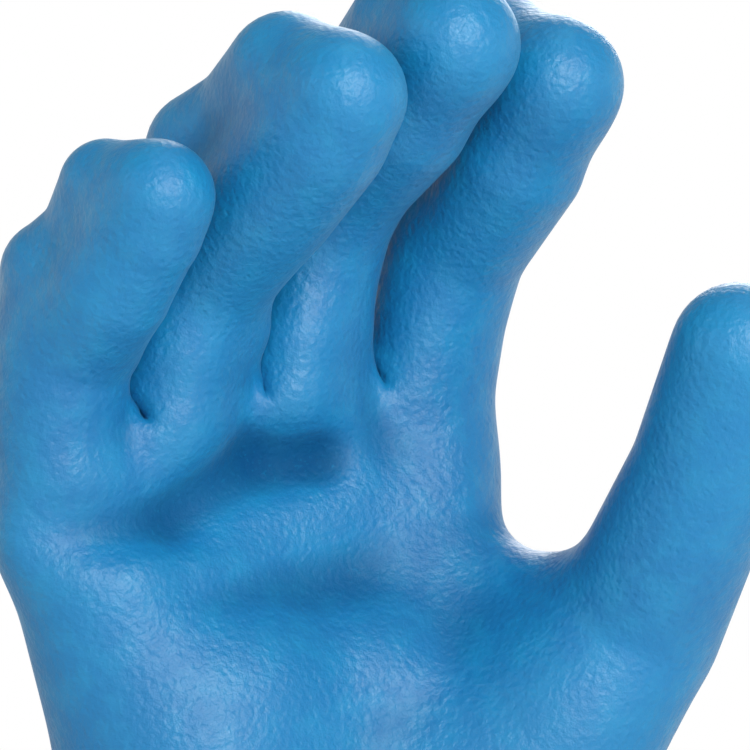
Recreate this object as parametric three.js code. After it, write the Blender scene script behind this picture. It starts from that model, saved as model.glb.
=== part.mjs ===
// A right-hand PVC coated work glove, worn and half closed, in millimetres.
// The cuff opening lies on the XY plane, the fingers point along +Z, the palm faces -Y, the thumb is at +X.
// The glove is one dipped piece: an outer skin, an inner skin one wall inside it, and a flat cuff rim.
import * as THREE from "three";

// Overall sizes
const WALL = 1.8;
const GAUNTLET_LENGTH = 112;
const CUFF_WIDTH = 126;
const CUFF_DEPTH = 96;
const WRIST_WIDTH = 84;
const WRIST_DEPTH = 58;
const PALM_LENGTH = 95;
const PALM_WIDTH = 94;
const PALM_DEPTH = 30;
const THUMB_THICKNESS = 25;

// The hand sits this far towards the little finger's side of the gauntlet's axis
const HAND_ASIDE = 5;

// How late the gauntlet's sides turn outwards on the way from the wrist to the cuff
const GAUNTLET_SWEEP = 1.4;

// The hand's rays gather to this share of the knuckles' spread at the wrist.
// Their rise is a share of the palm's length and their thickness one of the wrist's depth.
const RAYS_GATHER = 0.28;
const RAYS_RISE = 0.085;
const RAYS_THICKNESS = 0.56;

// How softly the forms run into each other
const PALM_BLEND = 13;
const DIGIT_BLEND = 8;
const FINGER_BLEND = 6;

// Mesh density
const SIDE_EDGES = 4;
const FINGER_EDGES = 4 * SIDE_EDGES;
const PALM_EDGES = 10 * SIDE_EDGES;
const GAUNTLET_ROWS = 7;
const PALM_ROWS = 14;
const FINGER_ROWS = 12;
const THUMB_ROWS = 10;
const SMOOTHING_ROUNDS = 30;

// One row per finger. The knuckle is in shares of the palm's width, depth and length.
// lean tips the finger sideways and turn swings its bending plane towards the thumb, both in degrees.
// bones run along the back of the finger and pads along its front: up and out are shares of the
// finger's length in its bending plane, and thick is a share of its thickness.
const FINGERS = [
  {
    name: "little", length: 54, thickness: 19, lean: -3, turn: 14,
    knuckle: { across: -0.395, lift: -0.10, along: 0.875 },
    bones: [
      { joint: "knuckle", up: 0.00, out: 0.00, thick: 0.80 },
      { joint: "middle", up: 0.76, out: 0.04, thick: 0.87 },
      { joint: "waist", up: 0.88, out: 0.16, thick: 0.60 },
      { joint: "end", up: 1.00, out: 0.29, thick: 0.78 },
      { joint: "tip", up: 0.96, out: 0.51, thick: 0.77 },
    ],
    pads: [
      { pad: "root", up: 0.30, out: -0.01, thick: 0.90 },
      { pad: "shaft", up: 0.53, out: 0.07, thick: 0.97 },
      { pad: "bend", up: 0.71, out: 0.29, thick: 1.02 },
      { pad: "end", up: 0.85, out: 0.44, thick: 0.90 },
    ],
  },
  {
    name: "ring", length: 62, thickness: 21, lean: 0.4, turn: 8,
    knuckle: { across: -0.17, lift: 0.08, along: 0.96 },
    bones: [
      { joint: "knuckle", up: 0.00, out: 0.00, thick: 1.02 },
      { joint: "middle", up: 0.85, out: 0.20, thick: 0.91 },
      { joint: "waist", up: 0.94, out: 0.35, thick: 0.72 },
      { joint: "end", up: 1.03, out: 0.54, thick: 0.93 },
      { joint: "tip", up: 0.96, out: 0.76, thick: 0.82 },
    ],
    pads: [
      { pad: "root", up: 0.19, out: -0.01, thick: 0.86 },
      { pad: "shaft", up: 0.37, out: 0.02, thick: 0.93 },
      { pad: "bend", up: 0.53, out: 0.205, thick: 1.01 },
      { pad: "end", up: 0.72, out: 0.465, thick: 1.09 },
      { pad: "tip", up: 0.86, out: 0.66, thick: 1.04 },
    ],
  },
  {
    name: "middle", length: 67, thickness: 21, lean: 1.6, turn: 4,
    knuckle: { across: 0.095, lift: 0.12, along: 1.00 },
    bones: [
      { joint: "knuckle", up: 0.00, out: 0.00, thick: 1.02 },
      { joint: "middle", up: 0.85, out: 0.20, thick: 0.98 },
      { joint: "waist", up: 0.93, out: 0.33, thick: 0.78 },
      { joint: "end", up: 1.01, out: 0.46, thick: 0.90 },
      { joint: "tip", up: 0.97, out: 0.655, thick: 0.89 },
    ],
    pads: [
      { pad: "root", up: 0.19, out: -0.01, thick: 0.88 },
      { pad: "shaft", up: 0.43, out: 0.01, thick: 0.96 },
      { pad: "bend", up: 0.62, out: 0.15, thick: 1.03 },
      { pad: "end", up: 0.81, out: 0.46, thick: 1.06 },
    ],
  },
  {
    name: "index", length: 66, thickness: 21, lean: 2, turn: 0,
    knuckle: { across: 0.362, lift: 0.03, along: 0.968 },
    bones: [
      { joint: "knuckle", up: 0.00, out: 0.00, thick: 1.02 },
      { joint: "middle", up: 0.81, out: 0.11, thick: 1.00 },
      { joint: "waist", up: 0.91, out: 0.215, thick: 0.84 },
      { joint: "end", up: 1.03, out: 0.33, thick: 1.00 },
      { joint: "tip", up: 0.95, out: 0.565, thick: 0.90 },
    ],
    pads: [
      { pad: "root", up: 0.19, out: -0.03, thick: 0.95 },
      { pad: "shaft", up: 0.41, out: 0.05, thick: 0.98 },
      { pad: "bend", up: 0.56, out: 0.17, thick: 0.99 },
      { pad: "end", up: 0.77, out: 0.40, thick: 1.08 },
    ],
  },
];

// The thumb from its root in the heel of the hand to its tip, in shares of the palm
const THUMB = [
  { across: 0.17, lift: -0.32, along: 0.20, thick: 1.30 },
  { across: 0.44, lift: -1.02, along: 0.50, thick: 1.15 },
  { across: 0.54, lift: -1.25, along: 0.70, thick: 1.12 },
  { across: 0.555, lift: -1.83, along: 0.97, thick: 0.98 },
  { across: 0.54, lift: -2.20, along: 1.175, thick: 0.89 },
];

// Where the thumb's skin starts to grow out of the palm's
const THUMB_ROOT = { across: 0.30, lift: -0.45, along: 0.56 };

// Flesh of the hand beside the finger bones, each a run between two ends: places in shares of the
// palm, and thick, a radius, in shares of its depth
const CUSHIONS = [
  {
    name: "heel",
    from: { across: -0.26, lift: -0.10, along: 0.14, thick: 0.46 },
    to: { across: -0.17, lift: -0.30, along: 0.48, thick: 0.38 },
  },
  {
    name: "little finger edge",
    from: { across: -0.17, lift: -0.30, along: 0.48, thick: 0.38 },
    to: { across: -0.32, lift: -0.14, along: 0.86, thick: 0.30 },
  },
  {
    name: "middle of the heel",
    from: { across: -0.06, lift: -0.22, along: 0.30, thick: 0.50 },
    to: { across: -0.05, lift: -0.32, along: 0.60, thick: 0.44 },
  },
  {
    name: "hollow of the hand",
    from: { across: 0.08, lift: -0.28, along: 0.30, thick: 0.48 },
    to: { across: 0.19, lift: -0.40, along: 0.60, thick: 0.42 },
  },
  {
    name: "front of the palm",
    from: { across: -0.28, lift: 0.02, along: 0.87, thick: 0.28 },
    to: { across: 0.33, lift: -0.02, along: 0.92, thick: 0.30 },
  },
  {
    name: "ball of the thumb",
    from: { across: 0.12, lift: -0.20, along: 0.12, thick: 0.60 },
    to: { across: 0.42, lift: -0.84, along: 0.54, thick: 0.47 },
  },
  {
    name: "thumb web",
    from: { across: 0.35, lift: -0.15, along: 0.75, thick: 0.37 },
    to: { across: 0.50, lift: -0.75, along: 0.72, thick: 0.28 },
  },
  {
    name: "web of little and ring",
    from: { across: -0.275, lift: 0.40, along: 0.94, thick: 0.20 },
    to: { across: -0.275, lift: 0.20, along: 0.95, thick: 0.18 },
  },
  {
    name: "web of ring and middle",
    from: { across: -0.02, lift: 0.45, along: 1.01, thick: 0.20 },
    to: { across: -0.02, lift: 0.24, along: 1.03, thick: 0.18 },
  },
  {
    name: "web of middle and index",
    from: { across: 0.24, lift: 0.40, along: 1.05, thick: 0.20 },
    to: { across: 0.24, lift: 0.18, along: 1.08, thick: 0.18 },
  },
];

// Folds and dents as shallow swells along a line of places in shares of the palm. reach is the half
// width of a swell, and rise is how far the skin stands out, or sinks where it is below zero: both
// shares of the palm's depth.
const FOLDS = [
  {
    name: "crease across the palm", reach: 0.17, rise: -0.15,
    line: [
      { across: -0.46, lift: -0.42, along: 0.875 },
      { across: -0.34, lift: -0.42, along: 0.882 },
      { across: -0.23, lift: -0.35, along: 0.892 },
      { across: -0.154, lift: -0.33, along: 0.935 },
      { across: -0.06, lift: -0.30, along: 0.975 },
      { across: 0.08, lift: -0.27, along: 0.992 },
    ],
  },
  {
    name: "ridge across the palm", reach: 0.10, rise: 0.035,
    line: [
      { across: -0.18, lift: -0.45, along: 0.81 },
      { across: 0.02, lift: -0.30, along: 0.83 },
      { across: 0.19, lift: -0.26, along: 0.885 },
      { across: 0.36, lift: -0.38, along: 0.935 },
    ],
  },
  {
    name: "pad of the ring finger", reach: 0.28, rise: 0.16,
    line: [
      { across: -0.20, lift: -0.38, along: 1.08 },
      { across: -0.20, lift: -0.38, along: 1.14 },
    ],
  },
  {
    name: "pad of the middle finger", reach: 0.28, rise: 0.15,
    line: [
      { across: 0.03, lift: -0.36, along: 1.12 },
      { across: 0.03, lift: -0.36, along: 1.18 },
    ],
  },
  {
    name: "pad of the index finger", reach: 0.26, rise: 0.06,
    line: [
      { across: 0.27, lift: -0.34, along: 1.14 },
      { across: 0.27, lift: -0.34, along: 1.18 },
    ],
  },
  {
    name: "wrist fold, front", reach: 0.23, rise: -0.07,
    line: [
      { across: -0.25, lift: -0.90, along: 0.02 },
      { across: 0.25, lift: -0.90, along: 0.02 },
    ],
  },
  {
    name: "wrist fold, back", reach: 0.23, rise: -0.05,
    line: [
      { across: -0.25, lift: 0.90, along: 0.05 },
      { across: 0.25, lift: 0.90, along: 0.05 },
    ],
  },
];

// Places a point given in shares of the palm
function onPalm({ across, lift, along }) {
  const x = across * PALM_WIDTH - HAND_ASIDE;
  return new THREE.Vector3(x, lift * PALM_DEPTH, GAUNTLET_LENGTH + along * PALM_LENGTH);
}

// Joins two distances with a soft fillet
function blend(a, b, width) {
  const overlap = Math.max(width - Math.abs(a - b), 0) / width;
  return Math.min(a, b) - overlap * overlap * width / 4;
}

// How far a point lies from a segment, with the share along it
function alongSegment(point, from, to) {
  const run = to.clone().sub(from);
  const offset = point.clone().sub(from);
  const share = THREE.MathUtils.clamp(offset.dot(run) / run.lengthSq(), 0, 1);
  return { share, distance: offset.addScaledVector(run, -share).length() };
}

// Distance to a chain of balls { at, radius } joined by cones
function chainDistance(point, chain) {
  let nearest = Infinity;
  for (let i = 1; i < chain.length; i++) {
    const { share, distance } = alongSegment(point, chain[i - 1].at, chain[i].at);
    const radius = THREE.MathUtils.lerp(chain[i - 1].radius, chain[i].radius, share);
    nearest = Math.min(nearest, distance - radius);
  }
  return nearest;
}

// Turns a finger's row into chains of balls and the directions of its bending plane
function layOutFinger(row) {
  const lean = THREE.MathUtils.degToRad(row.lean);
  const turn = THREE.MathUtils.degToRad(row.turn);
  const up = new THREE.Vector3(Math.sin(lean), 0, Math.cos(lean));
  const aside = new THREE.Vector3(Math.cos(lean), 0, -Math.sin(lean));
  const out = aside.multiplyScalar(Math.sin(turn)).add(new THREE.Vector3(0, -Math.cos(turn), 0));
  const knuckle = onPalm(row.knuckle);
  const place = (station) => {
    const at = knuckle.clone();
    at.addScaledVector(up, station.up * row.length);
    at.addScaledVector(out, station.out * row.length);
    return { at, radius: station.thick * row.thickness / 2 };
  };
  const bones = row.bones.map(place);
  const pads = row.pads.map(place);
  const bone = (joint) => bones[row.bones.findIndex((station) => station.joint === joint)];
  const pad = (name) => pads[row.pads.findIndex((station) => station.pad === name)];
  const halfway = (a, b) => a.at.clone().lerp(b.at, 0.5);
  const bend = halfway(bone("middle"), pad("bend"));
  const end = halfway(bone("end"), pad("end"));
  const tip = bone("tip");
  const core = [pad("root").at, pad("shaft").at, bend, end, tip.at];
  return { bones, pads: [...pads, tip], core, knuckle: bone("knuckle"), tip };
}

const fingers = FINGERS.map(layOutFinger);
const thumb = THUMB.map((row) => ({
  at: onPalm(row),
  radius: row.thick * THUMB_THICKNESS / 2,
}));
const cushions = CUSHIONS.map((row) => [row.from, row.to].map((end) => ({
  at: onPalm(end),
  radius: end.thick * PALM_DEPTH,
})));
const folds = FOLDS.map((row) => ({
  line: row.line.map(onPalm),
  reach: row.reach * PALM_DEPTH,
  rise: row.rise * PALM_DEPTH,
}));

const THUMB_DIGIT = fingers.length;
const FINGER_DIGITS = [...fingers.keys()];
const ALL_DIGITS = [...FINGER_DIGITS, THUMB_DIGIT];
const NO_DIGITS = [];

// The hand inside the palm: one ray from the wrist to each finger's knuckle
const rays = fingers.map(({ knuckle }) => [
  {
    at: new THREE.Vector3(knuckle.at.x * RAYS_GATHER, 0, GAUNTLET_LENGTH + PALM_LENGTH * RAYS_RISE),
    radius: WRIST_DEPTH * RAYS_THICKNESS / 2,
  },
  knuckle,
]);

// The gauntlet: an oval tube that narrows from the cuff to the wrist and ends rounded inside the palm
function sleeveSection(z) {
  const share = THREE.MathUtils.clamp(z / GAUNTLET_LENGTH, 0, 1);
  const flare = (1 - share) ** GAUNTLET_SWEEP;
  return {
    halfWidth: THREE.MathUtils.lerp(WRIST_WIDTH, CUFF_WIDTH, flare) / 2,
    halfDepth: THREE.MathUtils.lerp(WRIST_DEPTH, CUFF_DEPTH, flare) / 2,
  };
}

function sleeveDistance(point) {
  const { halfWidth, halfDepth } = sleeveSection(point.z);
  const beyond = Math.max(point.z - GAUNTLET_LENGTH, 0);
  const radial = Math.hypot(point.x / halfWidth, point.y / halfDepth, beyond / halfDepth);
  return (radial - 1) * (halfWidth + halfDepth) / 2;
}

function palmDistance(point) {
  let distance = sleeveDistance(point);
  for (const ray of rays) {
    distance = blend(distance, chainDistance(point, ray), PALM_BLEND);
  }
  for (const cushion of cushions) {
    distance = blend(distance, chainDistance(point, cushion), PALM_BLEND);
  }
  return distance;
}

function swells(point) {
  let height = 0;
  for (const { line, reach, rise } of folds) {
    let nearest = Infinity;
    for (let i = 1; i < line.length; i++) {
      nearest = Math.min(nearest, alongSegment(point, line[i - 1], line[i]).distance);
    }
    height += rise * Math.exp(-((nearest / reach) ** 2));
  }
  return height;
}

function fingerDistance(point, finger) {
  return blend(chainDistance(point, finger.bones), chainDistance(point, finger.pads), FINGER_BLEND);
}

// The outer skin is where this is zero. digits lists the digits that a point's skin may belong to,
// so that the skins of neighbouring fingers never pull at each other.
function skinDistance(point, digits) {
  let distance = palmDistance(point);
  for (const digit of digits) {
    if (digit === THUMB_DIGIT) {
      distance = blend(distance, chainDistance(point, thumb), PALM_BLEND);
    } else {
      distance = blend(distance, fingerDistance(point, fingers[digit]), DIGIT_BLEND);
    }
  }
  return distance - swells(point);
}

// The field's slope at a point, from a nudge to each side
const NUDGE = 0.05;

function slope(point, digits) {
  const result = new THREE.Vector3();
  for (const axis of ["x", "y", "z"]) {
    const ahead = point.clone();
    const behind = point.clone();
    ahead[axis] += NUDGE;
    behind[axis] -= NUDGE;
    result[axis] = (skinDistance(ahead, digits) - skinDistance(behind, digits)) / (2 * NUDGE);
  }
  return result;
}

// Moves a vertex onto the skin by a bounded step. A level vertex keeps its height.
const LONGEST_STEP = 4;
const LEAST_SLOPE = 0.05;

function settle(vertex) {
  const distance = skinDistance(vertex.at, vertex.digits);
  const direction = slope(vertex.at, vertex.digits);
  if (vertex.level) {
    direction.z = 0;
  }
  const step = distance / Math.max(direction.lengthSq(), LEAST_SLOPE);
  vertex.at.addScaledVector(direction, -THREE.MathUtils.clamp(step, -LONGEST_STEP, LONGEST_STEP));
}

const vertices = [];
const quads = [];
const caps = [];

function addVertex(at, digits, level = false) {
  vertices.push({ at, digits, level });
  return vertices.length - 1;
}

// Joins two rings of the same length with a belt of quads
function addBelt(lower, upper) {
  for (let i = 0; i < lower.length; i++) {
    const next = (i + 1) % lower.length;
    quads.push([lower[i], upper[i], upper[next], lower[next]]);
  }
}

// Walks outwards from inside the palm until it meets the skin that the thumb has no part in
const SHORTEST_STRIDE = 0.3;
const STRIDE_SHARE = 0.7;

function castOut(from, direction) {
  const at = from.clone();
  for (let walked = 0; walked < PALM_WIDTH; walked += SHORTEST_STRIDE) {
    const distance = skinDistance(at, FINGER_DIGITS);
    if (distance > -SHORTEST_STRIDE / 2) {
      break;
    }
    at.addScaledVector(direction, Math.max(-distance * STRIDE_SHARE, SHORTEST_STRIDE));
  }
  return at;
}

// Even steps round an oval, starting at the back of the hand on the little finger's side
const OVAL_STEPS = 720;

function ovalRing(center, halfWidth, halfDepth, level) {
  const walk = [0];
  const pointAt = (i) => {
    const angle = Math.PI - (i / OVAL_STEPS) * 2 * Math.PI;
    return new THREE.Vector2(Math.cos(angle) * halfWidth, Math.sin(angle) * halfDepth);
  };
  for (let i = 1; i <= OVAL_STEPS; i++) {
    walk.push(walk[i - 1] + pointAt(i).distanceTo(pointAt(i - 1)));
  }
  const ring = [];
  for (let k = 0; k < PALM_EDGES; k++) {
    const goal = ((k + SIDE_EDGES / 2) / PALM_EDGES) * walk[OVAL_STEPS];
    const i = walk.findIndex((length) => length >= goal);
    const spot = pointAt(i);
    const edge = center.clone().add(new THREE.Vector3(spot.x, spot.y, 0));
    const reach = Math.max(halfWidth - halfDepth, 0);
    const inside = center.clone();
    inside.x += THREE.MathUtils.clamp(spot.x, -reach, reach);
    const at = level ? edge : castOut(inside, edge.clone().sub(inside).normalize());
    ring.push(addVertex(at, ALL_DIGITS, level));
  }
  return ring;
}

// Gauntlet and palm rows. The palm's last row lies a little past the knuckles, where the fingers part.
const LAST_ROW_REACH = 1.08;
const LAST_ROW_DEPTH = 0.8;
const rows = [];
for (let i = 0; i <= GAUNTLET_ROWS; i++) {
  const z = GAUNTLET_LENGTH * i / GAUNTLET_ROWS;
  const { halfWidth, halfDepth } = sleeveSection(z);
  rows.push(ovalRing(new THREE.Vector3(0, 0, z), halfWidth, halfDepth, true));
}
for (let i = 1; i <= PALM_ROWS; i++) {
  const share = i / PALM_ROWS;
  const center = new THREE.Vector3(0, 0, GAUNTLET_LENGTH + share * PALM_LENGTH * LAST_ROW_REACH);
  const halfWidth = THREE.MathUtils.lerp(WRIST_WIDTH, PALM_WIDTH, Math.sqrt(share)) / 2;
  const halfDepth = THREE.MathUtils.lerp(WRIST_DEPTH, PALM_DEPTH * LAST_ROW_DEPTH, share) / 2;
  rows.push(ovalRing(center, halfWidth, halfDepth, false));
}
const topRow = rows[rows.length - 1];

// The thumb leaves through a square patch between the palm and the index finger's side
const THUMB_FIRST_ROW = GAUNTLET_ROWS + 6;
const THUMB_LAST_ROW = THUMB_FIRST_ROW + SIDE_EDGES;
const THUMB_FIRST_EDGE = FINGER_EDGES + SIDE_EDGES / 2;
const THUMB_LAST_EDGE = THUMB_FIRST_EDGE + SIDE_EDGES;

for (let r = 1; r < rows.length; r++) {
  for (let i = 0; i < PALM_EDGES; i++) {
    const inPatchRows = r > THUMB_FIRST_ROW && r <= THUMB_LAST_ROW;
    const inPatchEdges = i >= THUMB_FIRST_EDGE && i < THUMB_LAST_EDGE;
    if (!(inPatchRows && inPatchEdges)) {
      const next = (i + 1) % PALM_EDGES;
      quads.push([rows[r - 1][i], rows[r][i], rows[r][next], rows[r - 1][next]]);
    }
  }
}

// Webs: a short run of vertices from the back to the palm between two fingers
const lastEdge = PALM_EDGES - SIDE_EDGES;
const webs = [];
for (let i = 0; i <= FINGERS.length; i++) {
  const back = topRow[i * SIDE_EDGES];
  const front = topRow[lastEdge - i * SIDE_EDGES];
  if (i === 0) {
    webs.push([back, topRow[PALM_EDGES - 1], topRow[PALM_EDGES - 2], topRow[PALM_EDGES - 3], front]);
  } else if (i === FINGERS.length) {
    webs.push([back, ...topRow.slice(i * SIDE_EDGES + 1, (i + 1) * SIDE_EDGES), front]);
  } else {
    const between = [];
    for (let k = 1; k < SIDE_EDGES; k++) {
      const at = vertices[back].at.clone().lerp(vertices[front].at, k / SIDE_EDGES);
      between.push(addVertex(at, NO_DIGITS));
    }
    webs.push([back, ...between, front]);
  }
}

// How far up a fingertip's round end its rings lie, in shares of the end's height
const TIP_RINGS = [0.45, 0.85];

// Rings along a digit's core, ending in a cap. They start in line with the base ring that they grow from.
function addDigit(base, core, radius, digit, ringCount, tipReach) {
  const curve = new THREE.CatmullRomCurve3(core, false, "centripetal");
  const frames = curve.computeFrenetFrames(ringCount);
  const middle = new THREE.Vector3();
  for (const index of base) {
    middle.addScaledVector(vertices[index].at, 1 / base.length);
  }
  const turnStep = 2 * Math.PI / base.length;
  let alignX = 0;
  let alignY = 0;
  base.forEach((index, k) => {
    const offset = vertices[index].at.clone().sub(middle);
    const angle = Math.atan2(offset.dot(frames.binormals[0]), offset.dot(frames.normals[0])) + turnStep * k;
    alignX += Math.cos(angle);
    alignY += Math.sin(angle);
  });
  const start = Math.atan2(alignY, alignX);
  let lower = base;
  const addRing = (s, ringRadius, beyond) => {
    const center = curve.getPointAt(s / ringCount).addScaledVector(frames.tangents[s], beyond);
    const ring = base.map((index, k) => {
      const angle = start - turnStep * k;
      const at = center.clone()
        .addScaledVector(frames.normals[s], Math.cos(angle) * ringRadius)
        .addScaledVector(frames.binormals[s], Math.sin(angle) * ringRadius);
      return addVertex(at, [digit]);
    });
    addBelt(lower, ring);
    lower = ring;
  };
  for (let s = 1; s <= ringCount; s++) {
    addRing(s, radius, 0);
  }
  for (const rise of TIP_RINGS) {
    addRing(ringCount, tipReach * Math.sqrt(1 - rise * rise), tipReach * rise);
  }
  const end = curve.getPointAt(1).addScaledVector(frames.tangents[ringCount], tipReach);
  caps.push({ ring: lower, apex: addVertex(end, [digit]) });
}

fingers.forEach((finger, i) => {
  const back = topRow.slice(i * SIDE_EDGES, (i + 1) * SIDE_EDGES + 1);
  const front = topRow.slice(lastEdge - (i + 1) * SIDE_EDGES, lastEdge - i * SIDE_EDGES + 1);
  const far = webs[i + 1].slice(1, SIDE_EDGES);
  const near = webs[i].slice(1, SIDE_EDGES).reverse();
  const base = [...back, ...far, ...front, ...near];
  addDigit(base, finger.core, FINGERS[i].thickness / 2, i, FINGER_ROWS, finger.tip.radius);
});

// The ring of the thumb's patch: its top, its back side, its foot and its front side
const patchTop = rows[THUMB_LAST_ROW].slice(THUMB_FIRST_EDGE, THUMB_LAST_EDGE + 1).reverse();
const patchFoot = rows[THUMB_FIRST_ROW].slice(THUMB_FIRST_EDGE, THUMB_LAST_EDGE + 1);
const patchBack = [];
const patchFront = [];
for (let r = 1; r < SIDE_EDGES; r++) {
  patchBack.push(rows[THUMB_LAST_ROW - r][THUMB_FIRST_EDGE]);
  patchFront.push(rows[THUMB_FIRST_ROW + r][THUMB_LAST_EDGE]);
}
const thumbBase = [...patchTop, ...patchBack, ...patchFoot, ...patchFront];
const thumbCore = [onPalm(THUMB_ROOT), ...thumb.slice(2).map((ball) => ball.at)];
addDigit(thumbBase, thumbCore, THUMB_THICKNESS / 2, THUMB_DIGIT, THUMB_ROWS, thumb[thumb.length - 1].radius);

// Every vertex moves towards the middle of its neighbours and back onto the skin, until the mesh is even
const SMOOTHING_SHARE = 0.5;
const neighbours = vertices.map(() => new Set());
function connect(loop) {
  loop.forEach((index, k) => {
    const next = loop[(k + 1) % loop.length];
    neighbours[index].add(next);
    neighbours[next].add(index);
  });
}
quads.forEach(connect);
for (const { ring, apex } of caps) {
  for (const index of ring) {
    neighbours[apex].add(index);
    neighbours[index].add(apex);
  }
}
for (let round = 0; round < SMOOTHING_ROUNDS; round++) {
  const goals = vertices.map((vertex, index) => {
    const goal = new THREE.Vector3();
    for (const other of neighbours[index]) {
      goal.addScaledVector(vertices[other].at, 1 / neighbours[index].size);
    }
    return goal;
  });
  vertices.forEach((vertex, index) => {
    const height = vertex.at.z;
    vertex.at.lerp(goals[index], SMOOTHING_SHARE);
    if (vertex.level) {
      vertex.at.z = height;
    }
    settle(vertex);
    settle(vertex);
  });
}

// Both skins and the rim. An inner vertex lies one wall inside its outer vertex.
const positions = vertices.map((vertex) => vertex.at);
const innerStart = positions.length;
for (const vertex of vertices) {
  const outward = slope(vertex.at, vertex.digits);
  if (vertex.level) {
    outward.z = 0;
  }
  positions.push(vertex.at.clone().addScaledVector(outward.normalize(), -WALL));
}
const triangles = [];
function addTriangle(a, b, c) {
  triangles.push(a, b, c);
  triangles.push(innerStart + a, innerStart + c, innerStart + b);
}
for (const [a, b, c, d] of quads) {
  const acrossFirst = positions[a].distanceTo(positions[c]) <= positions[b].distanceTo(positions[d]);
  if (acrossFirst) {
    addTriangle(a, b, c);
    addTriangle(a, c, d);
  } else {
    addTriangle(a, b, d);
    addTriangle(b, c, d);
  }
}
for (const { ring, apex } of caps) {
  ring.forEach((index, k) => addTriangle(index, apex, ring[(k + 1) % ring.length]));
}
const cuff = rows[0];
cuff.forEach((index, k) => {
  const next = cuff[(k + 1) % cuff.length];
  triangles.push(index, next, innerStart + next);
  triangles.push(index, innerStart + next, innerStart + index);
});

const shell = new THREE.BufferGeometry();
const coordinates = positions.flatMap((at) => [at.x, at.y, at.z]);
shell.setAttribute("position", new THREE.Float32BufferAttribute(coordinates, 3));
shell.setIndex(triangles);
shell.computeVertexNormals();

const pvc = new THREE.MeshStandardMaterial({ color: 0x2384cc, roughness: 0.45, metalness: 0 });
const gloveShell = new THREE.Mesh(shell, pvc);
gloveShell.name = "glove_shell";

const glove = new THREE.Group();
glove.name = "work_glove";
glove.add(gloveShell);

export default glove;
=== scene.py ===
# A right-hand PVC coated work glove, worn and half closed.
# The cuff opening lies on the XY plane, the fingers point along +Z, the palm faces -Y, the thumb is at +X.
# The skin is worked out in millimetres, as the solid's is, and handed to Blender in metres.
import math

import bpy
import numpy as np
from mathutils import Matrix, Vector


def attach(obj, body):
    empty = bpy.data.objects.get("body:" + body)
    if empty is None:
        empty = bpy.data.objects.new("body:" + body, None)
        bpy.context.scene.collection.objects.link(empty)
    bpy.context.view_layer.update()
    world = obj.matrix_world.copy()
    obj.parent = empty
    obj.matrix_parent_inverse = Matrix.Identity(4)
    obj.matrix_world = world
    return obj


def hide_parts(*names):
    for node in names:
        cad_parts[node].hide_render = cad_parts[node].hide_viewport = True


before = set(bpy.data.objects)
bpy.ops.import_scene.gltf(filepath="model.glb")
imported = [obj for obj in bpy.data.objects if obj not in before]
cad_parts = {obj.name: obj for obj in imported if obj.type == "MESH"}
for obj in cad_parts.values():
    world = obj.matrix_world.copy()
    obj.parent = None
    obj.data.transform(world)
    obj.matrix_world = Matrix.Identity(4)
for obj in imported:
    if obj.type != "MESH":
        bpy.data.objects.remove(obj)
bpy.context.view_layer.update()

MM = 0.001

# Overall sizes, as in the solid
WALL = 1.8
GAUNTLET_LENGTH = 112
CUFF_WIDTH = 126
CUFF_DEPTH = 96
WRIST_WIDTH = 84
WRIST_DEPTH = 58
PALM_LENGTH = 95
PALM_WIDTH = 94
PALM_DEPTH = 30
THUMB_THICKNESS = 25
HAND_ASIDE = 5
GAUNTLET_SWEEP = 1.4
RAYS_GATHER = 0.28
RAYS_RISE = 0.085
RAYS_THICKNESS = 0.56
PALM_BLEND = 13
DIGIT_BLEND = 8
FINGER_BLEND = 6

# Density of the cage, which is subdivided twice
SIDE_EDGES = 6
FINGER_EDGES = 4 * SIDE_EDGES
PALM_EDGES = 10 * SIDE_EDGES
GAUNTLET_ROWS = 12
PALM_ROWS = 21
FINGER_ROWS = 18
THUMB_ROWS = 14
LAST_ROW_REACH = 1.08
LAST_ROW_DEPTH = 0.8
ROWS_BELOW_THUMB = 9
THUMB_FIRST_ROW = GAUNTLET_ROWS + ROWS_BELOW_THUMB
THUMB_LAST_ROW = THUMB_FIRST_ROW + SIDE_EDGES
THUMB_FIRST_EDGE = FINGER_EDGES + SIDE_EDGES // 2
THUMB_LAST_EDGE = THUMB_FIRST_EDGE + SIDE_EDGES

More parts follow.
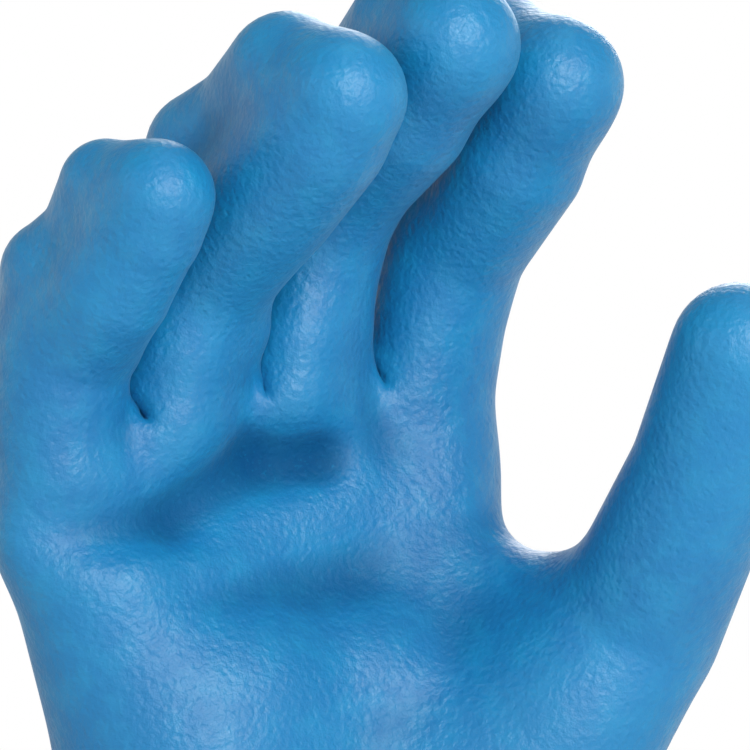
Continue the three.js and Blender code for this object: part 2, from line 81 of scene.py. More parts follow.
# The knuckle is (across, lift, along) in shares of the palm. bones and pads are rows of
# (up, out, thick): shares of the finger's length in its bending plane, and of its thickness.
FINGERS = [
    dict(name="little", length=54, thickness=19, lean=-3, turn=14, knuckle=(-0.395, -0.10, 0.875),
         bones=[(0.00, 0.00, 0.80), (0.76, 0.04, 0.87), (0.88, 0.16, 0.60), (1.00, 0.29, 0.78),
                (0.96, 0.51, 0.77)],
         pads=[(0.30, -0.01, 0.90), (0.53, 0.07, 0.97), (0.71, 0.29, 1.02), (0.85, 0.44, 0.90)]),
    dict(name="ring", length=62, thickness=21, lean=0.4, turn=8, knuckle=(-0.17, 0.08, 0.96),
         bones=[(0.00, 0.00, 1.02), (0.85, 0.20, 0.91), (0.94, 0.35, 0.72), (1.03, 0.54, 0.93),
                (0.96, 0.76, 0.82)],
         pads=[(0.19, -0.01, 0.86), (0.37, 0.02, 0.93), (0.53, 0.205, 1.01), (0.72, 0.465, 1.09),
               (0.86, 0.66, 1.04)]),
    dict(name="middle", length=67, thickness=21, lean=1.6, turn=4, knuckle=(0.095, 0.12, 1.00),
         bones=[(0.00, 0.00, 1.02), (0.85, 0.20, 0.98), (0.93, 0.33, 0.78), (1.01, 0.46, 0.90),
                (0.97, 0.655, 0.89)],
         pads=[(0.19, -0.01, 0.88), (0.43, 0.01, 0.96), (0.62, 0.15, 1.03), (0.81, 0.46, 1.06)]),
    dict(name="index", length=66, thickness=21, lean=2, turn=0, knuckle=(0.362, 0.03, 0.968),
         bones=[(0.00, 0.00, 1.02), (0.81, 0.11, 1.00), (0.91, 0.215, 0.84), (1.03, 0.33, 1.00),
                (0.95, 0.565, 0.90)],
         pads=[(0.19, -0.03, 0.95), (0.41, 0.05, 0.98), (0.56, 0.17, 0.99), (0.77, 0.40, 1.08)]),
]

# (across, lift, along, thick) from the thumb's root in the heel of the hand to its tip
THUMB = [
    (0.17, -0.32, 0.20, 1.30),
    (0.44, -1.02, 0.50, 1.15),
    (0.54, -1.25, 0.70, 1.12),
    (0.555, -1.83, 0.97, 0.98),
    (0.54, -2.20, 1.175, 0.89),
]
THUMB_ROOT = (0.30, -0.45, 0.56)

# Flesh beside the finger bones: two ends of (across, lift, along, thick)
CUSHIONS = [
    ("heel", (-0.26, -0.10, 0.14, 0.46), (-0.17, -0.30, 0.48, 0.38)),
    ("little finger edge", (-0.17, -0.30, 0.48, 0.38), (-0.32, -0.14, 0.86, 0.30)),
    ("middle of the heel", (-0.06, -0.22, 0.30, 0.50), (-0.05, -0.32, 0.60, 0.44)),
    ("hollow of the hand", (0.08, -0.28, 0.30, 0.48), (0.19, -0.40, 0.60, 0.42)),
    ("front of the palm", (-0.28, 0.02, 0.87, 0.28), (0.33, -0.02, 0.92, 0.30)),
    ("ball of the thumb", (0.12, -0.20, 0.12, 0.60), (0.42, -0.84, 0.54, 0.47)),
    ("thumb web", (0.35, -0.15, 0.75, 0.37), (0.50, -0.75, 0.72, 0.28)),
    ("web of little and ring", (-0.275, 0.40, 0.94, 0.20), (-0.275, 0.20, 0.95, 0.18)),
    ("web of ring and middle", (-0.02, 0.45, 1.01, 0.20), (-0.02, 0.24, 1.03, 0.18)),
    ("web of middle and index", (0.24, 0.40, 1.05, 0.20), (0.24, 0.18, 1.08, 0.18)),
]

# Folds and dents of the solid: a line in shares of the palm, then reach and rise in shares of its depth
FOLDS = [
    ("crease across the palm", [(-0.46, -0.42, 0.875), (-0.34, -0.42, 0.882), (-0.23, -0.35, 0.892),
                                (-0.154, -0.33, 0.935), (-0.06, -0.30, 0.975), (0.08, -0.27, 0.992)],
     0.17, -0.15),
    ("ridge across the palm", [(-0.18, -0.45, 0.81), (0.02, -0.30, 0.83), (0.19, -0.26, 0.885),
                               (0.36, -0.38, 0.935)], 0.10, 0.035),
    ("pad of the ring finger", [(-0.20, -0.38, 1.08), (-0.20, -0.38, 1.14)], 0.28, 0.16),
    ("pad of the middle finger", [(0.03, -0.36, 1.12), (0.03, -0.36, 1.18)], 0.28, 0.15),
    ("pad of the index finger", [(0.27, -0.34, 1.14), (0.27, -0.34, 1.18)], 0.26, 0.06),
    ("wrist fold, front", [(-0.25, -0.90, 0.02), (0.25, -0.90, 0.02)], 0.23, -0.07),
    ("wrist fold, back", [(-0.25, 0.90, 0.05), (0.25, 0.90, 0.05)], 0.23, -0.05),
]


def on_palm(across, lift, along):
    """The place of a point given in shares of the palm."""
    height = GAUNTLET_LENGTH + along * PALM_LENGTH
    return np.array([across * PALM_WIDTH - HAND_ASIDE, lift * PALM_DEPTH, height])


def blend(a, b, width):
    """Joins two distances with a soft fillet."""
    overlap = np.maximum(width - np.abs(a - b), 0) / width
    return np.minimum(a, b) - overlap ** 2 * width / 4


def along_segment(points, start, end):
    """How far along a line each point lies, and its distance from it."""
    run = end - start
    offset = points - start
    share = np.clip(offset @ run / (run @ run), 0, 1)
    return share, np.linalg.norm(offset - share[:, None] * run, axis=1)


def chain_distance(points, chain):
    """Distance to a chain of balls (at, radius) joined by cones."""
    nearest = np.full(len(points), np.inf)
    for (start, first_radius), (end, last_radius) in zip(chain, chain[1:]):
        share, distance = along_segment(points, start, end)
        nearest = np.minimum(nearest, distance - (first_radius + (last_radius - first_radius) * share))
    return nearest


def lay_out_finger(row):
    """A finger's balls, and the core that its rings follow, from its row of the table."""
    lean = math.radians(row["lean"])
    turn = math.radians(row["turn"])
    up = np.array([math.sin(lean), 0, math.cos(lean)])
    aside = np.array([math.cos(lean), 0, -math.sin(lean)])
    out = math.cos(turn) * np.array([0, -1, 0]) + math.sin(turn) * aside
    knuckle = on_palm(*row["knuckle"])

    def place(station):
        at = knuckle + (up * station[0] + out * station[1]) * row["length"]
        return at, station[2] * row["thickness"] / 2

    bones = [place(station) for station in row["bones"]]
    pads = [place(station) for station in row["pads"]]
    tip = bones[-1]
    bend = (bones[1][0] + pads[2][0]) / 2
    end = (bones[3][0] + pads[3][0]) / 2
    core = np.array([pads[0][0], pads[1][0], bend, end, tip[0]])
    return dict(row, knuckle=bones[0], bones=bones, pads=pads + [tip], core=core, tip_radius=tip[1])


fingers = [lay_out_finger(row) for row in FINGERS]
thumb = [(on_palm(*row[:3]), row[3] * THUMB_THICKNESS / 2) for row in THUMB]
cushions = [[(on_palm(*end[:3]), end[3] * PALM_DEPTH) for end in row[1:]] for row in CUSHIONS]
folds = [([on_palm(*spot) for spot in row[1]], row[2] * PALM_DEPTH, row[3] * PALM_DEPTH) for row in FOLDS]
rays = []
for finger in fingers:
    foot = np.array([finger["knuckle"][0][0] * RAYS_GATHER, 0, GAUNTLET_LENGTH + PALM_LENGTH * RAYS_RISE])
    rays.append([(foot, WRIST_DEPTH * RAYS_THICKNESS / 2), finger["knuckle"]])

THUMB_DIGIT = len(fingers)
DIGITS = THUMB_DIGIT + 1
ALL_DIGITS = [1.0] * DIGITS
NO_DIGITS = [0.0] * DIGITS
FINGERS_ONLY = [1.0] * THUMB_DIGIT + [0.0]


def one_digit(digit):
    return [1.0 if other == digit else 0.0 for other in range(DIGITS)]


def sleeve_section(z):
    """Half the width and half the depth of the gauntlet at a height."""
    share = np.clip(z / GAUNTLET_LENGTH, 0, 1)
    flare = (1 - share) ** GAUNTLET_SWEEP
    half_width = (WRIST_WIDTH + (CUFF_WIDTH - WRIST_WIDTH) * flare) / 2
    half_depth = (WRIST_DEPTH + (CUFF_DEPTH - WRIST_DEPTH) * flare) / 2
    return half_width, half_depth


def sleeve_distance(points):
    half_width, half_depth = sleeve_section(points[:, 2])
    beyond = np.maximum(points[:, 2] - GAUNTLET_LENGTH, 0)
    across = (points[:, 0] / half_width) ** 2 + (points[:, 1] / half_depth) ** 2
    radial = np.sqrt(across + (beyond / half_depth) ** 2)
    return (radial - 1) * (half_width + half_depth) / 2


def palm_distance(points):
    distance = sleeve_distance(points)
    for chain in rays + cushions:
        distance = blend(distance, chain_distance(points, chain), PALM_BLEND)
    return distance


def swells(points, rows):
    """How far the folds and pads lift the skin at each point."""
    height = np.zeros(len(points))
    for line, reach, rise in rows:
        nearest = np.full(len(points), np.inf)
        for start, end in zip(line, line[1:]):
            nearest = np.minimum(nearest, along_segment(points, start, end)[1])
        height += rise * np.exp(-((nearest / reach) ** 2))
    return height


def digit_distance(points, digit):
    if digit == THUMB_DIGIT:
        return chain_distance(points, thumb)
    finger = fingers[digit]
    bones = chain_distance(points, finger["bones"])
    pads = chain_distance(points, finger["pads"])
    return blend(bones, pads, FINGER_BLEND)


def skin_distance(points, shares):
    """Zero on the outer skin. shares says how far each digit counts at each point."""
    distance = palm_distance(points)
    for digit in range(DIGITS):
        near = shares[:, digit] > 0
        width = PALM_BLEND if digit == THUMB_DIGIT else DIGIT_BLEND
        joined = blend(distance[near], digit_distance(points[near], digit), width)
        distance[near] += shares[near, digit] * (joined - distance[near])
    return distance - swells(points, folds)


NUDGE = 0.05
LONGEST_STEP = 4
LEAST_SLOPE = 0.05


def settle(points, shares, level):
    """Moves points onto the skin. A level point keeps its height."""
    distance = skin_distance(points, shares)
    slope = np.zeros_like(points)
    for axis in range(3):
        ahead = points.copy()
        ahead[:, axis] += NUDGE
        slope[:, axis] = (skin_distance(ahead, shares) - distance) / NUDGE
    slope[level, 2] = 0
    step = distance / np.maximum((slope ** 2).sum(axis=1), LEAST_SLOPE)
    return points - slope * np.clip(step, -LONGEST_STEP, LONGEST_STEP)[:, None]


# The cage: vertices, the digits that each may belong to, and quads that face outwards
cage_points = []
cage_shares = []
cage_level = []
cage_quads = []


def add_vertex(at, shares, level=False):
    cage_points.append(np.array(at, float))
    cage_shares.append(shares)
    cage_level.append(level)
    return len(cage_points) - 1


SHORTEST_STRIDE = 0.3
STRIDE_SHARE = 0.7


def cast_out(starts, directions):
    """Walks outwards from inside the palm to the skin that the thumb has no part in."""
    points = starts.copy()
    shares = np.tile(FINGERS_ONLY, (len(points), 1))
    for _ in range(int(PALM_WIDTH / SHORTEST_STRIDE)):
        distance = skin_distance(points, shares)
        inside = distance < -SHORTEST_STRIDE / 2
        if not inside.any():
            break
        stride = np.where(inside, np.maximum(-distance * STRIDE_SHARE, SHORTEST_STRIDE), 0)
        points += directions * stride[:, None]
    return points


OVAL_STEPS = 720


def oval_ring(center, half_width, half_depth, level):
    """Even steps round an oval, from the back of the hand on the little finger's side."""
    angles = math.pi - np.linspace(0, 2 * math.pi, OVAL_STEPS + 1)
    spots = np.stack([np.cos(angles) * half_width, np.sin(angles) * half_depth], axis=1)
    walk = np.concatenate([[0], np.cumsum(np.linalg.norm(np.diff(spots, axis=0), axis=1))])
    goals = (np.arange(PALM_EDGES) + SIDE_EDGES / 2) / PALM_EDGES * walk[-1]
    edge = np.array([center] * PALM_EDGES, float)
    edge[:, 0] += np.interp(goals, walk, spots[:, 0])
    edge[:, 1] += np.interp(goals, walk, spots[:, 1])
    if not level:
        reach = max(half_width - half_depth, 0)
        inside = np.array([center] * PALM_EDGES, float)
        inside[:, 0] += np.clip(edge[:, 0] - center[0], -reach, reach)
        direction = edge - inside
        direction /= np.linalg.norm(direction, axis=1)[:, None]
        edge = cast_out(inside, direction)
    return [add_vertex(at, ALL_DIGITS, level) for at in edge]


rows = []
for i in range(GAUNTLET_ROWS + 1):
    height = GAUNTLET_LENGTH * i / GAUNTLET_ROWS
    half_width, half_depth = sleeve_section(height)
    rows.append(oval_ring((0, 0, height), half_width, half_depth, True))
for i in range(1, PALM_ROWS + 1):
    share = i / PALM_ROWS
    half_width = (WRIST_WIDTH + (PALM_WIDTH - WRIST_WIDTH) * math.sqrt(share)) / 2
    half_depth = (WRIST_DEPTH + (PALM_DEPTH * LAST_ROW_DEPTH - WRIST_DEPTH) * share) / 2
    height = GAUNTLET_LENGTH + share * PALM_LENGTH * LAST_ROW_REACH
    rows.append(oval_ring((0, 0, height), half_width, half_depth, False))
top_row = rows[-1]

for r in range(1, len(rows)):
    for i in range(PALM_EDGES):
        in_patch_rows = THUMB_FIRST_ROW < r <= THUMB_LAST_ROW
        in_patch_edges = THUMB_FIRST_EDGE <= i < THUMB_LAST_EDGE
        if not (in_patch_rows and in_patch_edges):
            after = (i + 1) % PALM_EDGES
            cage_quads.append((rows[r - 1][i], rows[r][i], rows[r][after], rows[r - 1][after]))

# Webs: a short run of vertices from the back to the palm between two fingers
LAST_EDGE = PALM_EDGES - SIDE_EDGES
webs = []
for i in range(len(FINGERS) + 1):
    back = top_row[i * SIDE_EDGES]
    front = top_row[LAST_EDGE - i * SIDE_EDGES]
    if i == 0:
        between = top_row[PALM_EDGES - 1:PALM_EDGES - SIDE_EDGES:-1]
    elif i == len(FINGERS):
        between = top_row[i * SIDE_EDGES + 1:(i + 1) * SIDE_EDGES]
    else:
        between = []
        for k in range(1, SIDE_EDGES):
            share = k / SIDE_EDGES
            at = cage_points[back] * (1 - share) + cage_points[front] * share
            between.append(add_vertex(at, NO_DIGITS))
    webs.append([back] + list(between) + [front])

PATH_STEPS = 40


def smooth_path(points, count):
    """count + 1 even points, and their directions, on a smooth curve through the given ones."""
    slopes = np.gradient(points, axis=0)
    path = []
    for i in range(len(points) - 1):
        for s in np.arange(PATH_STEPS) / PATH_STEPS:
            start = (2 * s ** 3 - 3 * s ** 2 + 1) * points[i] + (s ** 3 - 2 * s ** 2 + s) * slopes[i]
            end = (3 * s ** 2 - 2 * s ** 3) * points[i + 1] + (s ** 3 - s ** 2) * slopes[i + 1]
            path.append(start + end)
    path = np.array(path + [points[-1]])
    walk = np.concatenate([[0], np.cumsum(np.linalg.norm(np.diff(path, axis=0), axis=1))])
    goals = np.linspace(0, walk[-1], count + 1)
    even = np.stack([np.interp(goals, walk, path[:, axis]) for axis in range(3)], axis=1)
    directions = np.gradient(even, axis=0)
    return even, directions / np.linalg.norm(directions, axis=1)[:, None]


def add_digit(base, core, radius, digit, ring_count, tip_reach):
    """Rings along a digit's core, closed by a square patch. They start in line with their base ring."""
    centers, directions = smooth_path(core, ring_count)
    points = np.array([cage_points[index] for index in base])
    offset = points - points.mean(axis=0)
    normal = offset[0] - directions[0] * (offset[0] @ directions[0])
    normal /= np.linalg.norm(normal)
    turn_step = 2 * math.pi / len(base)
    side = np.cross(directions[0], normal)
    angles = np.arctan2(offset @ side, offset @ normal) + turn_step * np.arange(len(base))
    start = math.atan2(np.sin(angles).sum(), np.cos(angles).sum())
    lower = base
    for s in range(ring_count + 1):
        normal = normal - directions[s] * (normal @ directions[s])
        normal /= np.linalg.norm(normal)
        side = np.cross(directions[s], normal)
        if s == 0:
            continue
        ring = []
        for k in range(len(base)):
            angle = start - turn_step * k
            at = centers[s] + radius * (math.cos(angle) * normal + math.sin(angle) * side)
            ring.append(add_vertex(at, one_digit(digit)))
        for k in range(len(base)):
            after = (k + 1) % len(base)
            cage_quads.append((lower[k], ring[k], ring[after], lower[after]))
        lower = ring
    grid = {}
    n = SIDE_EDGES
    for i in range(n + 1):
        for j in range(n + 1):
            if j == 0:
                grid[i, j] = lower[i]
            elif i == n:
                grid[i, j] = lower[n + j]
            elif j == n:
                grid[i, j] = lower[3 * n - i]
            elif i == 0:
                grid[i, j] = lower[4 * n - j]
    ring_points = {key: cage_points[index] for key, index in grid.items()}
    for i in range(1, n):
        for j in range(1, n):
            a, b = i / n, j / n
            across = ring_points[0, j] * (1 - a) + ring_points[n, j] * a
            along = ring_points[i, 0] * (1 - b) + ring_points[i, n] * b
            bulge = math.sin(math.pi * a) * math.sin(math.pi * b) * tip_reach
            at = (across + along) / 2 + directions[-1] * bulge
            grid[i, j] = add_vertex(at, one_digit(digit))
    for i in range(n):
        for j in range(n):
            cage_quads.append((grid[i, j], grid[i, j + 1], grid[i + 1, j + 1], grid[i + 1, j]))


for i, finger in enumerate(fingers):
    back = top_row[i * SIDE_EDGES:(i + 1) * SIDE_EDGES + 1]
    front = top_row[LAST_EDGE - (i + 1) * SIDE_EDGES:LAST_EDGE - i * SIDE_EDGES + 1]
    far = webs[i + 1][1:SIDE_EDGES]
    near = webs[i][1:SIDE_EDGES][::-1]
    base = back + far + front + near
    add_digit(base, finger["core"], finger["thickness"] / 2, i, FINGER_ROWS, finger["tip_radius"])

patch_top = rows[THUMB_LAST_ROW][THUMB_FIRST_EDGE:THUMB_LAST_EDGE + 1][::-1]
patch_foot = rows[THUMB_FIRST_ROW][THUMB_FIRST_EDGE:THUMB_LAST_EDGE + 1]
patch_back = [rows[THUMB_LAST_ROW - r][THUMB_FIRST_EDGE] for r in range(1, SIDE_EDGES)]
patch_front = [rows[THUMB_FIRST_ROW + r][THUMB_LAST_EDGE] for r in range(1, SIDE_EDGES)]
thumb_core = np.array([on_palm(*THUMB_ROOT)] + [ball[0] for ball in thumb[2:]])
base = patch_top + patch_back + patch_foot + patch_front
add_digit(base, thumb_core, THUMB_THICKNESS / 2, THUMB_DIGIT, THUMB_ROWS, thumb[-1][1])


def find_edges(quads):
    """The unique edges, and the number of each quad's four edges."""
    pairs = np.stack([quads, np.roll(quads, -1, axis=1)], axis=2).reshape(-1, 2)
    edges, numbers = np.unique(np.sort(pairs, axis=1), axis=0, return_inverse=True)
    return edges, numbers.reshape(-1, 4)


def relax(points, edges, level, rounds, shares=None, steps=1):
    """Moves points towards the middle of their neighbours, and back onto the skin if shares are given."""
    ends = np.concatenate([edges[:, 0], edges[:, 1]])
    others = np.concatenate([edges[:, 1], edges[:, 0]])
    count = np.bincount(ends, minlength=len(points))
    for _ in range(rounds):
        height = points[level, 2].copy()
        sums = [np.bincount(ends, points[others, axis], len(points)) for axis in range(3)]
        goal = np.stack(sums, axis=1) / count[:, None]
        points = (points + goal) / 2
        points[level, 2] = height
        if shares is not None:
            for _ in range(steps):
                points = settle(points, shares, level)
    return points


def subdivide(points, shares, level, quads):
    """Cuts every quad into four."""
    edges, numbers = find_edges(quads)
    first_edge = len(points)
    first_face = first_edge + len(edges)
    points = np.concatenate([points, points[edges].mean(axis=1), points[quads].mean(axis=1)])
    shares = np.concatenate([shares, shares[edges].mean(axis=1), shares[quads].mean(axis=1)])
    level = np.concatenate([level, level[edges].all(axis=1), level[quads].all(axis=1)])
    middles = first_edge + numbers
    faces = first_face + np.arange(len(quads))
    parts = [np.stack([quads[:, k], middles[:, k], faces, middles[:, k - 1]], axis=1) for k in range(4)]
    return points, shares, level, np.concatenate(parts)


# Rounds of relaxing: on the cage, after each subdivision, and last without the skin
CAGE_ROUNDS = 30
CAGE_STEPS = 2
MIDDLE_ROUNDS = 4
FINE_ROUNDS = 2
SOFTENING_ROUNDS = 3

points = np.array(cage_points)
shares = np.array(cage_shares)
level = np.array(cage_level)
quads = np.array(cage_quads)
points = relax(points, find_edges(quads)[0], level, CAGE_ROUNDS, shares, CAGE_STEPS)
points, shares, level, quads = subdivide(points, shares, level, quads)
points = relax(points, find_edges(quads)[0], level, MIDDLE_ROUNDS, shares)
inner_quads = quads
inner_count = len(points)
points, shares, level, quads = subdivide(points, shares, level, quads)
points = relax(points, find_edges(quads)[0], level, FINE_ROUNDS, shares)
edges = find_edges(quads)[0]
points = relax(points, edges, level, SOFTENING_ROUNDS)


def vertex_normals(points, quads):
    first = points[quads[:, 2]] - points[quads[:, 0]]
    second = points[quads[:, 3]] - points[quads[:, 1]]
    face = np.cross(first, second)
    normals = np.zeros_like(points)
    for k in range(4):
        for axis in range(3):
            normals[:, axis] += np.bincount(quads[:, k], face[:, axis], len(points))
    return normals / np.linalg.norm(normals, axis=1)[:, None]


def neighbour_mean(values, edges):
    """The mean of each point's neighbours, for one value per point."""
    ends = np.concatenate([edges[:, 0], edges[:, 1]])
    others = np.concatenate([edges[:, 1], edges[:, 0]])
    count = np.bincount(ends, minlength=len(values))
    return np.bincount(ends, values[others], len(values)) / count


normals = vertex_normals(points, quads)
normals[level, 2] = 0
normals /= np.linalg.norm(normals, axis=1)[:, None]

# How hollow the skin is at each point: above zero in creases and webs, below it on knuckles and pads
HOLLOW_ROUNDS = 24
FULL_HOLLOW = 0.07
drift = np.stack([neighbour_mean(points[:, axis], edges) for axis in range(3)], axis=1) - points
hollow = (drift * normals).sum(axis=1)
for _ in range(HOLLOW_ROUNDS):
    hollow = (hollow + neighbour_mean(hollow, edges)) / 2
hollow = np.tanh(hollow / FULL_HOLLOW)

# The inner face takes every other vertex, one wall inside. The rim joins the two at the cuff.
inner = points[:inner_count] - normals[:inner_count] * WALL
inner_start = len(points)
all_points = np.concatenate([points, inner])
faces = [tuple(quad) for quad in quads.tolist()]
faces += [tuple(inner_start + index for index in reversed(quad)) for quad in inner_quads.tolist()]

coarse_edges, coarse_numbers = find_edges(inner_quads)
uses = np.bincount(coarse_numbers.ravel(), minlength=len(coarse_edges))
for row, quad in zip(coarse_numbers.tolist(), inner_quads.tolist()):
    for k in range(4):
        if uses[row[k]] == 1:
            first, last = quad[k], quad[(k + 1) % 4]
            middle = inner_count + row[k]
            faces.append((middle, first, inner_start + first))
            faces.append((middle, inner_start + first, inner_start + last))
            faces.append((last, middle, inner_start + last))

mesh = bpy.data.meshes.new("glove")
mesh.from_pydata((all_points * MM).tolist(), [], faces)
mesh.update()
for polygon in mesh.polygons:
    polygon.use_smooth = True
inner_points = np.zeros(len(all_points))
inner_points[inner_start:] = 1
skin_values = {"hollow": np.concatenate([hollow, hollow[:inner_count]]), "inside": inner_points}
for name, values in skin_values.items():
    mesh.attributes.new(name, "FLOAT", "POINT").data.foreach_set("value", values)
glove = bpy.data.objects.new("glove", mesh)
bpy.context.collection.objects.link(glove)
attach(glove, "root")
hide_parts("glove_shell")

# The coating: satin blue PVC with a fine rough grain and painted shade darkening the creases, over a
# knitted inner face
pvc = bpy.data.materials.new("pvc_coating")
pvc.use_nodes = True
tree = pvc.node_tree
shader = tree.nodes["Principled BSDF"]
shader.inputs["Sheen Weight"].default_value = 0.07
shader.inputs["Sheen Roughness"].default_value = 0.45
shader.inputs["Sheen Tint"].default_value = (0.55, 0.85, 0.95, 1)
object_space = tree.nodes.new("ShaderNodeTexCoord").outputs["Object"]


def attribute(name):
    node = tree.nodes.new("ShaderNodeAttribute")
    node.attribute_name = name
    return node.outputs["Fac"]


def noise(scale, detail, roughness=0.5):
    node = tree.nodes.new("ShaderNodeTexNoise")
    node.inputs["Scale"].default_value = scale
    node.inputs["Detail"].default_value = detail
    node.inputs["Roughness"].default_value = roughness
    tree.links.new(object_space, node.inputs["Vector"])
    return node.outputs["Fac"]


def cells(scale, feature):
    node = tree.nodes.new("ShaderNodeTexVoronoi")
    node.feature = feature
    node.inputs["Scale"].default_value = scale
    tree.links.new(object_space, node.inputs["Vector"])
    return node.outputs["Distance"]


def spread(value, low, high, start, end):
    """Maps low to start and high to end, and holds both beyond."""
    node = tree.nodes.new("ShaderNodeMapRange")
    for socket, number in {"From Min": low, "From Max": high, "To Min": start, "To Max": end}.items():
        node.inputs[socket].default_value = number
    tree.links.new(value, node.inputs["Value"])
    return node.outputs["Result"]


def math_node(operation, first, second):
    node = tree.nodes.new("ShaderNodeMath")
    node.operation = operation
    for socket, value in zip(node.inputs, (first, second)):
        if isinstance(value, (int, float)):
            socket.default_value = value
        else:
            tree.links.new(value, socket)
    return node.outputs[0]


def mix_colour(share, first, second):
    node = tree.nodes.new("ShaderNodeMix")
    node.data_type = "RGBA"
    for socket, value in {"Factor_Float": share, "A_Color": first, "B_Color": second}.items():
        target = next(entry for entry in node.inputs if entry.identifier == socket)
        if isinstance(value, tuple):
            target.default_value = (*value, 1)
        else:
            tree.links.new(value, target)
    return next(entry for entry in node.outputs if entry.identifier == "Result_Color")


def bump(height, strength, distance, normal=None):
    node = tree.nodes.new("ShaderNodeBump")
    node.inputs["Strength"].default_value = strength
    node.inputs["Distance"].default_value = distance
    tree.links.new(height, node.inputs["Height"])
    if normal is not None:
        tree.links.new(normal, node.inputs["Normal"])
    return node.outputs["Normal"]


DEEP_BLUE = (0.001, 0.136, 0.335)
PLAIN_BLUE = (0.002, 0.170, 0.390)
PALE_BLUE = (0.008, 0.228, 0.435)
# Painted shade colour for the creases and webs
CREASE_SHADE_BLUE = (0.001, 0.034, 0.118)
KNIT_BLUE = (0.120, 0.330, 0.520)
hollow_here = attribute("hollow")
inside_here = attribute("inside")
patches = noise(scale=24, detail=3)
mottle = noise(scale=190, detail=3, roughness=0.6)
grain = noise(scale=1250, detail=3, roughness=0.65)
pebbles = cells(scale=820, feature="SMOOTH_F1")

# Each tint grows from none at low to most of itself at high
TINTS = [
    dict(by=patches, low=0.35, high=0.65, most=1, colour=PLAIN_BLUE),
    dict(by=mottle, low=0.42, high=0.75, most=0.55, colour=PALE_BLUE),
    dict(by=hollow_here, low=-0.1, high=-0.9, most=0.30, colour=PALE_BLUE),
    # Painted shade: creases and webs are darkened in colour where the skin is hollow
    dict(by=hollow_here, low=0.05, high=1.0, most=0.95, colour=CREASE_SHADE_BLUE),
    dict(by=grain, low=0.58, high=0.8, most=0.35, colour=PALE_BLUE),
]
colour = DEEP_BLUE
for tint in TINTS:
    share = spread(tint["by"], tint["low"], tint["high"], 0, tint["most"])
    colour = mix_colour(share, colour, tint["colour"])
colour = mix_colour(inside_here, colour, KNIT_BLUE)
tree.links.new(colour, shader.inputs["Base Color"])

# Rubbed places are smoother, creases and the inner face are dull
PLAIN_ROUGHNESS = 0.46
RUBBED_ROUGHNESS = 0.36
CREASE_DULLNESS = 0.22
INSIDE_DULLNESS = 0.35
PLAIN_GLOSS = 0.46
CREASE_GLOSS = 0.06
FULL_CREASE = 0.8
worn = spread(mottle, 0.35, 0.7, PLAIN_ROUGHNESS, RUBBED_ROUGHNESS)
dull = math_node("ADD", worn, spread(hollow_here, 0, 1, 0, CREASE_DULLNESS))
gloss = spread(hollow_here, 0, FULL_CREASE, PLAIN_GLOSS, CREASE_GLOSS)
tree.links.new(gloss, shader.inputs["Specular IOR Level"])
knitted = math_node("MULTIPLY", inside_here, INSIDE_DULLNESS)
tree.links.new(math_node("ADD", dull, knitted), shader.inputs["Roughness"])

# Slow waves of the dipped coating, then its pebbled grain
waves = bump(noise(scale=160, detail=2), strength=0.08, distance=0.0006)
pebbled = bump(pebbles, strength=0.6, distance=0.0003, normal=waves)
rough = bump(grain, strength=0.8, distance=0.00025, normal=pebbled)
tree.links.new(rough, shader.inputs["Normal"])
mesh.materials.append(pvc)

# Camera at the photograph's place
PHOTO_SIZE = 750
FOCAL_PIXELS = 4200
SENSOR = 36
CAMERA_DISTANCE = 0.7
AZIMUTH = math.radians(-32)
TARGET = Vector((0.0195, 0, 0.2198))
back = Vector((math.sin(AZIMUTH), -math.cos(AZIMUTH), 0))
camera_data = bpy.data.cameras.new("camera")
camera_data.sensor_width = SENSOR
camera_data.lens = SENSOR * FOCAL_PIXELS / PHOTO_SIZE
camera = bpy.data.objects.new("camera", camera_data)
camera.location = TARGET + back * CAMERA_DISTANCE
camera.rotation_euler = back.to_track_quat("Z", "Y").to_euler()
bpy.context.collection.objects.link(camera)
bpy.context.scene.camera = camera

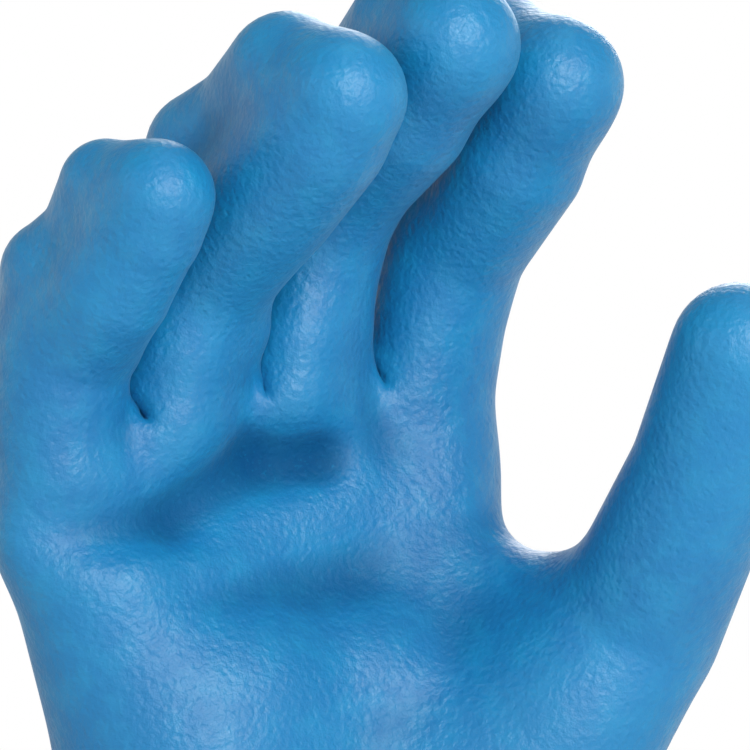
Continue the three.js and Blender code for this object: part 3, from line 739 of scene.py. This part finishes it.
# A pale floor, just under the rim of the cuff
FLOOR_RADIUS = 1.5
FLOOR_SIDES = 96
FLOOR_TOP = -0.0005
FLOOR_COLOUR = (0.85, 0.85, 0.85, 1)
FLOOR_ROUGHNESS = 0.8
bpy.ops.mesh.primitive_circle_add(vertices=FLOOR_SIDES, radius=FLOOR_RADIUS, fill_type="NGON",
                                  location=(0, 0, FLOOR_TOP))
floor = bpy.context.object
floor.name = "floor"
floor_paint = bpy.data.materials.new("floor_paint")
floor_paint.use_nodes = True
floor_shader = floor_paint.node_tree.nodes["Principled BSDF"]
floor_shader.inputs["Base Color"].default_value = FLOOR_COLOUR
floor_shader.inputs["Roughness"].default_value = FLOOR_ROUGHNESS
floor.data.materials.append(floor_paint)

# The surroundings are white at the height of the horizon and dimmer above it
world = bpy.data.worlds.new("surroundings")
world.use_nodes = True
sky = world.node_tree
direction = sky.nodes.new("ShaderNodeTexCoord")
parts = sky.nodes.new("ShaderNodeSeparateXYZ")
sky.links.new(direction.outputs["Generated"], parts.inputs[0])
brightness = sky.nodes.new("ShaderNodeMapRange")
brightness.interpolation_type = "SMOOTHSTEP"
for socket, value in {"From Min": 0.16, "From Max": 0.5, "To Min": 1.0, "To Max": 0.30}.items():
    brightness.inputs[socket].default_value = value
sky.links.new(parts.outputs["Z"], brightness.inputs["Value"])
sky.links.new(brightness.outputs["Result"], sky.nodes["Background"].inputs["Strength"])
sky.nodes["Background"].inputs["Color"].default_value = (1, 1, 1, 1)
bpy.context.scene.world = world
bpy.context.scene.view_settings.view_transform = "Standard"


# Soft square lights, all turned to the middle of the glove
LIGHT_AIM = Vector((0, 0, 0.2))
LIGHTS = [
    dict(name="key_light", at=(-0.14, -0.92, 0.56), size=0.45, power=8.5),
    dict(name="side_light", at=(-0.90, -0.05, 0.70), size=0.40, power=0.8),
    dict(name="top_light", at=(0.10, -0.20, 1.15), size=0.50, power=0.8),
    dict(name="back_light", at=(0.75, 0.75, 0.75), size=0.50, power=5.5),
]


def add_light(name, at, size, power):
    data = bpy.data.lights.new(name, "AREA")
    data.size = size
    data.energy = power
    light = bpy.data.objects.new(name, data)
    light.location = at
    light.rotation_euler = (Vector(at) - LIGHT_AIM).to_track_quat("Z", "Y").to_euler()
    bpy.context.collection.objects.link(light)


for row in LIGHTS:
    add_light(**row)
